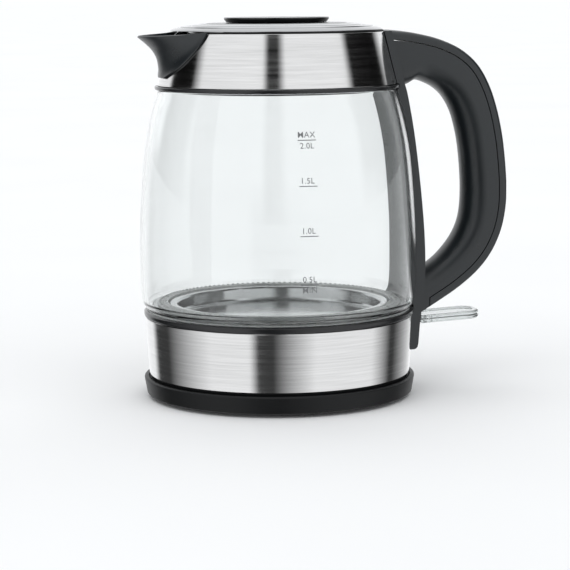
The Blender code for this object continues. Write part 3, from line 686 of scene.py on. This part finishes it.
def wrap_mark(name, flat, height):
    """Lays a flat shape, in millimetres, on the outside of the glass, a hair above it."""
    for vert in flat.verts:
        level = height + vert.co.y
        radius = glass_radius(level) + 0.04
        angle = MARK_AZIMUTH + vert.co.x / radius
        vert.co = Vector((radius * math.cos(angle), radius * math.sin(angle), level)) * MM
    bmesh.ops.recalc_face_normals(flat, faces=flat.faces)
    outward = Vector((math.cos(MARK_AZIMUTH), math.sin(MARK_AZIMUTH), 0))
    if sum(face.normal.dot(outward) for face in flat.faces) < 0:
        bmesh.ops.reverse_faces(flat, faces=flat.faces)
    mesh = bpy.data.meshes.new(name)
    flat.to_mesh(mesh)
    flat.free()
    dress(object_from(name, mesh, KETTLE), INK, "grey_plastic", "kettle", weighted=False)


# The neck and the spout

def notch(name):
    half = [(2.0, 181.0), (13.0, 184.0), (21.5, 189.5), (28.5, 195.4), (34.0, 205.0), (34.5, 214.0)]
    outline = half + [(-y, z) for y, z in half[::-1]]
    turn = Matrix.Translation((-68 * MM, 0, 0)) @ Matrix.Rotation(math.pi / 2, 4, "Z")
    return slab_solid(name, outline, 20.0, KETTLE @ turn)


def neck():
    top, low = COLLAR_TOP, COLLAR_BOTTOM
    collar = turned_solid("neck_collar", fillet([
        (top[0] - STEEL_WALL, top[1]), top, low, (low[0] - STEEL_WALL, low[1]),
    ], 0.4), KETTLE, 192)
    combine(collar, [
        notch("collar_notch"),
        rod_solid("steam_hole", 2.7, (50, -2.9, 193), (80, -2.9, 193), KETTLE),
        rod_solid("screw_hole", 1.8, (50, 3.2, 194), (80, 3.2, 194), KETTLE),
    ])
    dress(collar, STEEL, "brushed_steel", "kettle", "steel_collar")
    liner = turned_solid("neck_lining", fillet([
        (59.8, 206.1), (62.8, 206.1), (62.8, 205.5), (61.5, 205.5), (69.2, 174.7), (67.4, 174.7),
        (59.8, 205.0),
    ], 0.25), KETTLE, 192)
    combine(liner, [
        notch("liner_notch"),
        rod_solid("steam_way", 2.7, (50, -2.9, 193), (80, -2.9, 193), KETTLE),
    ])
    dress(liner, SATIN_BLACK, "black_plastic", "kettle", "neck_liner")
    turned("shoulder", [
        (LID_HOLE, 208.4), (52.6, 209.1), (54.0, 209.2), (56.6, 208.8), (56.9, 208.2), (57.5, 208.1),
        (58.8, 208.2), (60.6, 207.7), (62.0, 207.0),
        (62.5, 206.6), (62.5, 206.4), (58.0, 206.4), (54.2, 207.4), (53.0, 206.8), (53.0, 199.0),
        (LID_HOLE, 199.0),
    ], CHROME, "polished_steel", "kettle", "shoulder_ring", edge=0.3, steps=192)


SPOUT_RIDGE = [
    (70.8, 179.6), (70.7, 183.0), (71.1, 186.6), (72.2, 191.0), (74.8, 195.4), (78.5, 199.1),
    (81.7, 201.7), (SPOUT_REACH, 203.2),
]
SPOUT_ANGLES = [5.5, 13.5, 20.0, 25.3, 29.7, 33.0, 35.0, 36.0]
SPOUT_WALL = 1.1


def spout():
    """The sheet of the beak, with a wall of even thickness and a rounded rim."""
    per_span = 4
    columns = 48
    ridge_line = smooth_line(SPOUT_RIDGE, per_span)
    angles = smooth_line([(angle, 0) for angle in SPOUT_ANGLES], per_span)
    rows = len(ridge_line)
    shape = bmesh.new()
    grid = []
    for row, ((ridge, level), (half_angle, _)) in enumerate(zip(ridge_line, angles)):
        climb = (row / (rows - 1)) ** 3
        line = []
        for i in range(columns + 1):
            across = 2 * i / columns - 1
            height = level + 3.0 * climb * abs(across) ** 1.6
            edge = collar_radius(height) + GAP + SPOUT_WALL
            swell = (1 - abs(across) ** 1.8) ** 2.4
            radius = edge + max(ridge - edge, 0.0) * swell
            angle = math.pi + across * math.radians(half_angle)
            line.append(shape.verts.new((radius * math.cos(angle) * MM, radius * math.sin(angle) * MM,
                                         height * MM)))
        grid.append(line)
    for low, high in zip(grid, grid[1:]):
        for i in range(columns):
            shape.faces.new((low[i], low[i + 1], high[i + 1], high[i]))
    mesh = bpy.data.meshes.new("spout_shell")
    shape.to_mesh(mesh)
    shape.free()
    made = object_from("spout_shell", mesh, KETTLE)
    wall = made.modifiers.new("wall", "SOLIDIFY")
    wall.thickness = SPOUT_WALL * MM
    wall.offset = -1.0
    wall.use_even_offset = True
    rim = made.modifiers.new("rim", "BEVEL")
    rim.width = 0.35 * MM
    rim.segments = 3
    rim.limit_method = "ANGLE"
    rim.angle_limit = math.radians(50)
    settle(made)
    dress(made, SLATE, "slate_plastic", "kettle", "spout")


# The handle

HANDLE_SIDES = [
    ((60.0, 206.1), (60.0, 172.0)), ((72.0, 205.4), (72.0, 172.0)), ((84.0, 203.7), (79.5, 173.0)),
    ((98.1, 200.2), (85.0, 175.6)), ((111.7, 194.1), (92.0, 173.8)), ((122.4, 185.1), (99.0, 170.0)),
    ((129.9, 173.0), (104.8, 164.2)), ((135.2, 158.5), (109.6, 155.6)), ((138.9, 142.0), (113.0, 144.1)),
    ((141.1, 124.0), (115.2, 130.9)), ((HANDLE_REACH, 106.0), (116.5, 113.4)),
    ((140.4, 91.0), (116.2, 99.0)), ((136.6, 78.7), (114.1, 88.6)), ((130.3, 67.5), (109.3, 79.2)),
    ((121.4, 57.7), (101.5, 70.1)), ((109.5, 48.6), (93.7, 64.0)), ((97.4, 41.3), (86.2, 59.6)),
    ((85.5, 34.5), (78.0, 57.0)), ((72.0, 27.5), (70.0, 57.0)),
]
HANDLE_OUTER = [
    (min(x, HANDLE_REACH - 0.1), z) for x, z in smooth_line([outer for outer, inner in HANDLE_SIDES], 5)
]
HANDLE_INNER = smooth_line([inner for outer, inner in HANDLE_SIDES], 5)
SPINE_OUTER = [
    (67.6, 205.4), (75.4, 175.0), (77.4, 167.5), (81.2, 146.3), (84.4, 121.0), (87.0, 94.0),
    (88.1, 74.0), (88.0, 58.0), (87.0, 45.0), (85.6, 36.0), (84.6, 27.0), (83.9, 18.6),
    (83.2, 15.8), (81.6, 14.7),
]


def along_cover(depth, start=COVER_START, end=COVER_END):
    """The handle's outer line at a depth under its surface, from the collar to the lower joint."""
    line = offset_line(HANDLE_OUTER, depth)
    top = [p for p in line if p[1] > 100.0]
    low = [p for p in line if p[1] <= 100.0]
    inside = [p for p in top if p[0] > start] + [p for p in low if p[0] > end]
    return [(start, height_at(top, start))] + inside + [(end, height_at(low, end))]


def handle_section(outer, inner):
    """One cross-section: a crowned back with small edges, flat sides, and a well rounded front."""
    outer = Vector(outer)
    inner = Vector(inner)
    along = (outer - inner).normalized()
    depth = (outer - inner).length
    side_line = HANDLE_HALF_WIDTH
    half = []
    for step in range(4):
        y = (side_line - OUTER_EDGE) * step / 4
        half.append((depth - CROWN * (y / side_line) ** 2, y))
    back = depth - CROWN * ((side_line - OUTER_EDGE) / side_line) ** 2 - OUTER_EDGE
    for centre, edge, first, steps in ((back, OUTER_EDGE, 0, 6), (INNER_EDGE, INNER_EDGE, 90, 9)):
        for step in range(steps + 1):
            angle = math.radians(first + 90 * step / steps)
            reach = centre + edge * math.cos(angle)
            half.append((reach, side_line - edge + edge * math.sin(angle)))
    ring = half + [(reach, -y) for reach, y in half[:0:-1]]
    return [(inner.x + along.x * reach, y, inner.y + along.y * reach) for reach, y in ring]


def handle_blank(name):
    shape = bmesh.new()
    loops = []
    for outer, inner in zip(HANDLE_OUTER, HANDLE_INNER):
        loops.append([shape.verts.new(Vector(point) * MM) for point in handle_section(outer, inner)])
    count = len(loops[0])
    for here, there in zip(loops, loops[1:]):
        for i in range(count):
            after = (i + 1) % count
            shape.faces.new((here[i], here[after], there[after], there[i]))
    shape.faces.new(loops[0])
    shape.faces.new(loops[-1])
    bmesh.ops.recalc_face_normals(shape, faces=shape.faces)
    mesh = bpy.data.meshes.new(name)
    shape.to_mesh(mesh)
    shape.free()
    return object_from(name, mesh, KETTLE)


def body_clearance(name):
    side = [(63.4, 205.4), (COLLAR_BOTTOM[0] + 0.4, COLLAR_BOTTOM[1]), (72.5, 174.3), (72.5, 172.4)]
    side += [(r + GAP, z) for r, z in GLASS_SIDE[2:-2]]
    side += [(80.9, 42.0), (80.9, 38.1), (BAND_TOP[0] + GAP, 37.9), (BAND_BOTTOM[0] + GAP, BAND_BOTTOM[1])]
    return turned_solid(name, [(0, 212.0), (63.4, 212.0)] + side + [(0, BAND_BOTTOM[1])], KETTLE, 128)


def spine_blank(name):
    outer = smooth_line(SPINE_OUTER, 3)
    made = turned_solid(name, [(61.0, 205.4)] + outer + [(61.0, 14.6)], KETTLE, 128)
    side = SPINE_HALF_WIDTH
    combine(made, [box_solid("spine_width", (40, -side, 0), (110, side, 220), KETTLE)], "INTERSECT")
    edges = made.modifiers.new("edges", "BEVEL")
    edges.width = 1.3 * MM
    edges.segments = 4
    edges.limit_method = "ANGLE"
    edges.angle_limit = math.radians(50)
    settle(made)
    return made


def handle():
    shell = handle_blank("handle_body")
    combine(shell, [spine_blank("spine")], "UNION")
    recess = [(COVER_START - SEAM, 215.0)]
    recess += along_cover(COVER_DEPTH + SEAM, COVER_START - SEAM, COVER_END - SEAM)
    recess += [(COVER_END - SEAM, 20.0), (160.0, 20.0), (160.0, 215.0)]
    groove = along_cover(COVER_DEPTH - 1, 74.0, 97.0) + along_cover(COVER_DEPTH + 9, 74.0, 97.0)[::-1]
    combine(shell, [
        body_clearance("clearance"),
        rod_solid("steam_inlet", 2.7, (58, -2.9, 193), (76, -2.9, 193), KETTLE),
        rod_solid("steam_outlet", 2.6, (99, -2.9, 51.7), (80, -2.9, 33.5), KETTLE),
        rod_solid("top_screw_hole", 1.8, (58, 3.2, 194), (76, 3.2, 194), KETTLE),
        rod_solid("tail_screw_hole", 1.7, (74, 0, 19), (82.6, 0, 19), KETTLE),
        box_solid("tail_slot", (74, -7.8, 24.6), (92, 7.8, 35.2), KETTLE),
        slab_solid("steam_groove", groove, 6.4, KETTLE),
        slab_solid("cover_recess", recess, 30.0, KETTLE),
    ])
    dress(shell, SLATE, "slate_plastic", "kettle", "handle_shell")
    region = [(COVER_START, 215.0)] + along_cover(COVER_DEPTH)
    region += [(COVER_END, 20.0), (160.0, 20.0), (160.0, 215.0)]
    cover = handle_blank("handle_back")
    combine(cover, [slab_solid("cover_region", region, 30.0, KETTLE)], "INTERSECT")
    dress(cover, SLATE, "slate_plastic", "kettle", "handle_cover")


# The switch lever

def lever():
    """A clear paddle with rounded edges, a raised rim round its top and a groove along each side."""
    pivot = Vector(JOINTS["switch_tip"]["pos_m"])
    place = Matrix.Translation(pivot) @ Matrix.Rotation(-LEVER_TILT, 4, "Y")
    tip, corner, half_paddle, half_neck = 57.0, 9.0, 12.0, 7.0
    start, shoulder = -9.0, 17.4
    groove_depth = 1.2
    notch_floor, notch_width = 10.2, 1.0
    end = []
    for step in range(13):
        angle = math.radians(90 - 90 * step / 12)
        across = corner * math.sin(angle) + half_paddle - corner
        end.append((corner * math.cos(angle) + tip - corner, across))
    half = [(start, half_neck), (shoulder, half_neck), (shoulder, half_paddle)] + end
    outline = half + [(x, -y) for x, y in half[::-1]]
    made = slab_solid("lever_paddle", outline, 2.5, place, upright=False)
    edges = made.modifiers.new("edges", "BEVEL")
    edges.width = 1.1 * MM
    edges.segments = 4
    edges.limit_method = "ANGLE"
    edges.angle_limit = math.radians(50)
    settle(made)
    hollow = [(x * 0.84 + 6.0, y * 0.74) for x, y in [(shoulder, half_paddle)] + end]
    hollow += [(x, -y) for x, y in hollow[::-1]]
    dip = slab_solid("lever_dip", hollow, 0.9, place @ Matrix.Translation((0, 0, 2.6 * MM)), upright=False)
    bore = rod_solid("lever_bore", 1.5, (0, -9, 0), (0, 9, 0), place)
    around = [(x * 1.1, y * 1.3) for x, y in outline]
    groove = slab_solid("lever_groove", around, 0.75, place, upright=False)
    core = [
        (min(x, tip - groove_depth) if x > shoulder else x, y - math.copysign(groove_depth, y))
        for x, y in outline
    ]
    combine(groove, [slab_solid("lever_core", core, 2.0, place, upright=False)])
    root = []
    for side in (-1, 1):
        near, far = sorted((side * notch_floor, side * 14))
        for i, x in enumerate((19.6, 23.4, 27.2)):
            root.append(box_solid(f"root_{side}_{i}", (x, near, -4), (x + notch_width, far, 4), place))
    combine(made, [dip, bore, groove] + root)
    dress(made, ACRYLIC, "clear_acrylic", "lever", "switch_lever")


# The lid

def lid():
    hole = 1.8
    turned("lid_disc", [(hole, 210.6), (41.0, 210.6), (41.6, 210.1), (41.6, 208.9), (hole, 208.9)],
           GLOSS_BLACK, "gloss_black_plastic", "lid", "lid_top_cap", edge=0.4, steps=160)
    turned("lid_bezel", [
        (42.1, 210.3), (43.6, 210.5), (45.2, 210.3), (45.5, 209.9), (46.0, 210.1), (49.8, 209.6),
        (50.9, 208.6), (50.9, 206.8), (50.0, 206.8), (50.0, 208.4), (42.1, 209.2),
    ], CHROME, "polished_steel", "lid", "lid_trim_ring", edge=0.4, steps=192)
    turned("lid_core", [
        (hole, 208.3), (49.7, 208.3), (49.7, 203.6), (46.8, 203.6), (46.8, 200.8), (48.8, 200.8),
        (48.8, 196.0), (46.4, 196.0), (46.4, 200.0), (44.8, 200.8), (44.8, 206.1), (hole, 206.1),
    ], SATIN_BLACK, "black_plastic", "lid", "lid_plug", edge=0.35, steps=128)
    turned("lid_seal", [
        (47.1, 203.3), (50.4, 203.3), (51.2, 202.6), (51.2, 201.8), (50.4, 201.1), (47.1, 201.1),
    ], SILICONE, "silicone", "lid", "lid_gasket", edge=0.3, steps=128)
    turned("lid_underside", [(0, 197.2), (46.0, 197.2), (46.0, 196.3), (0, 196.3)],
           STEEL, "brushed_steel", "lid", "lid_bottom_plate", edge=0.25, steps=128)
    turned("lid_grip", [
        (0, 213.9), (30.6, 213.9), (31.0, 213.6), (31.0, 213.0), (30.2, 211.9), (29.4, 210.9),
        (1.7, 210.9), (1.7, 212.5), (0, 212.5),
    ], GLOSS_BLACK, "gloss_black_plastic", "lid", "lid_knob", edge=0.2, steps=160)


# The studio

def world():
    """A white studio with soft dark flags at the sides and behind the camera."""
    made = bpy.data.worlds.new("studio")
    bpy.context.scene.world = made
    made.use_nodes = True
    nodes, links = made.node_tree.nodes, made.node_tree.links
    source = nodes.new("ShaderNodeTexCoord")
    split = nodes.new("ShaderNodeSeparateXYZ")
    links.new(source.outputs["Generated"], split.inputs["Vector"])

    def math_node(operation, first, second=None, third=None):
        node = nodes.new("ShaderNodeMath")
        node.operation = operation
        for socket, value in zip(node.inputs, (first, second, third)):
            if value is None:
                continue
            if isinstance(value, (int, float)):
                socket.default_value = value
            else:
                links.new(value, socket)
        return node.outputs["Value"]

    camera_side = math.atan2(-math.cos(VIEW_AZIMUTH), -math.sin(VIEW_AZIMUTH))
    azimuth = math_node("ARCTAN2", split.outputs["Y"], split.outputs["X"])
    turn = math_node("SUBTRACT", azimuth, camera_side)
    turn = math_node("WRAP", turn, math.pi, -math.pi)
    turn = math_node("MULTIPLY", turn, 180 / math.pi)

    def flag(left, right, soft_left, soft_right):
        """1 inside a strip of directions, in degrees from the camera's side, 0 outside."""
        rise = math_node("SUBTRACT", turn, left - soft_left / 2)
        rise = clamp(math_node("DIVIDE", rise, soft_left))
        fall = math_node("SUBTRACT", right + soft_right / 2, turn)
        fall = math_node("DIVIDE", fall, soft_right)
        return math_node("MULTIPLY", rise, clamp(fall))

    def clamp(value):
        node = nodes.new("ShaderNodeClamp")
        links.new(value, node.inputs["Value"])
        return node.outputs["Result"]

    def all_flags(strips):
        total = flag(*strips[0])
        for strip in strips[1:]:
            total = math_node("MAXIMUM", total, flag(*strip))
        return total

    above = clamp(math_node("MULTIPLY_ADD", split.outputs["Z"], *HORIZON_BLEND))
    high_sum = all_flags(HIGH_FLAGS)
    low_sum = math_node("MULTIPLY", all_flags(LOW_FLAGS), LOW_DEPTH)
    below = math_node("SUBTRACT", 1.0, above)
    dark = math_node("ADD", math_node("MULTIPLY", high_sum, above), math_node("MULTIPLY", low_sum, below))
    overhead = clamp(math_node("MULTIPLY_ADD", split.outputs["Z"], *OVERHEAD_BLEND))
    dark = math_node("MULTIPLY", dark, math_node("SUBTRACT", 1.0, overhead))
    strength = math_node("MULTIPLY_ADD", dark, FLAG_STRENGTH - SKY_STRENGTH, SKY_STRENGTH)
    strength = math_node("MULTIPLY_ADD", overhead, OVERHEAD_EXTRA, strength)
    background = nodes["Background"]
    background.inputs["Color"].default_value = (*SKY_COLOUR, 1)
    links.new(strength, background.inputs["Strength"])


VIEW_AZIMUTH = math.radians(16)
VIEW_PITCH = math.radians(8)
VIEW_ROLL = 0.0085
VIEW_DISTANCE = 1.24
VIEW_HEIGHT = 0.229
HIGH_FLAGS = [(-125, -86, 6, 12), (-12, 5, 6, 8), (77, 133, 8, 16)]
LOW_FLAGS = [(-136, -87, 10, 50), (-22, 13.5, 8, 37), (100, 141, 24, 47)]
SKY_STRENGTH = 1.12
FLAG_STRENGTH = 0.004
OVERHEAD_EXTRA = 0.27
LOW_DEPTH = 0.955
HORIZON_BLEND = (8.0, 0.3)
OVERHEAD_BLEND = (3.0, -1.6)
SKY_COLOUR = (0.97, 0.985, 1.0)
LENS = 132.1
SENSOR = 36.0
VIEW_SHIFT = 0.0111
FLOOR_HALF = 150.0
CLIP_END = 400


def camera():
    data = bpy.data.cameras.new("camera")
    data.lens = LENS
    data.sensor_width = SENSOR
    data.shift_x = VIEW_SHIFT
    data.clip_end = CLIP_END
    made = bpy.data.objects.new("camera", data)
    bpy.context.scene.collection.objects.link(made)
    towards = Vector((math.sin(VIEW_AZIMUTH), math.cos(VIEW_AZIMUTH), 0))
    level = towards * math.cos(VIEW_PITCH) - Vector((0, 0, math.sin(VIEW_PITCH)))
    right = Vector((towards.y, -towards.x, 0))
    up = right.cross(level)
    tilted_right = (right - up * VIEW_ROLL).normalized()
    tilted_up = tilted_right.cross(level)
    axes = Matrix((tilted_right, tilted_up, -level)).transposed().to_4x4()
    place = AXIS - towards * VIEW_DISTANCE
    place.z = VIEW_HEIGHT + KETTLE.translation.z
    made.matrix_world = Matrix.Translation(place) @ axes
    bpy.context.scene.camera = made


def studio():
    shape = bmesh.new()
    bmesh.ops.create_grid(shape, x_segments=1, y_segments=1, size=FLOOR_HALF)
    mesh = bpy.data.meshes.new("floor")
    shape.to_mesh(mesh)
    shape.free()
    floor = object_from("floor", mesh, Matrix.Identity(4))
    made, nodes, links, shader = new_material("floor")
    place = object_coordinates(nodes, links, (1, 1, 1))
    speck = noise(nodes, links, place, 3.0, 2.0)
    pale = two_tone(nodes, links, speck, (0.93, 0.93, 0.93), (0.95, 0.95, 0.95))
    links.new(pale, shader.inputs["Base Color"])
    shader.inputs["Roughness"].default_value = 0.9
    shader.inputs["Specular IOR Level"].default_value = 0.0
    mesh.materials.append(made)
    floor.visible_glossy = False
    bpy.context.scene.view_settings.view_transform = "Standard"


SLOTS = {part["node"]: part["material_slot"] for part in frame["record"]["subparts"]}
for node in frame["nodes"].values():
    node.data.materials.clear()
    node.data.materials.append(LOOKS[SLOTS[node.name]])

power_base()
bottom()
heating_dish()
glass()
neck()
spout()
handle()
lever()
lid()
camera()
world()
studio()
